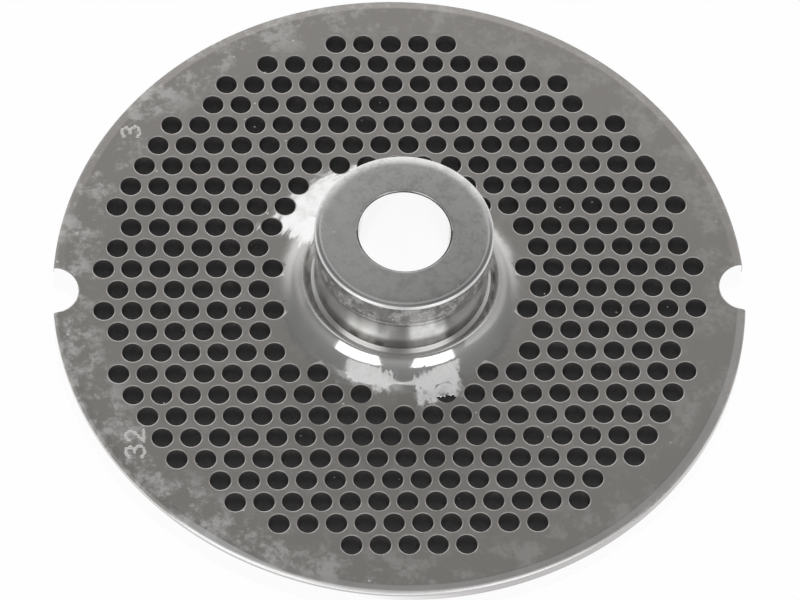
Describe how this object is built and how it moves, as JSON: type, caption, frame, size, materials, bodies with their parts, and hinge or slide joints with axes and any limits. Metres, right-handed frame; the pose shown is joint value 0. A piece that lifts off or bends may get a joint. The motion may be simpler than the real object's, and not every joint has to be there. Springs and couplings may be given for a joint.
{
  "type": "meat grinder plate",
  "caption": "Round perforated meat grinder plate with a raised central hub, a through bore, round holes on a triangular grid and two half-round locating notches.",
  "frame": {"origin": "centre of the flat cutting face, on the bore's axis", "axes": "+Z along the bore from the cutting face towards the hub's end, X through the two notches"},
  "size_m": [0.0982, 0.0984, 0.0214],
  "materials": {
    "stainless_steel": "ground satin disc with a polished hub"
  },
  "bodies": {
    "root": {"grinder_plate": "stainless_steel"}
  },
  "joints": []
}
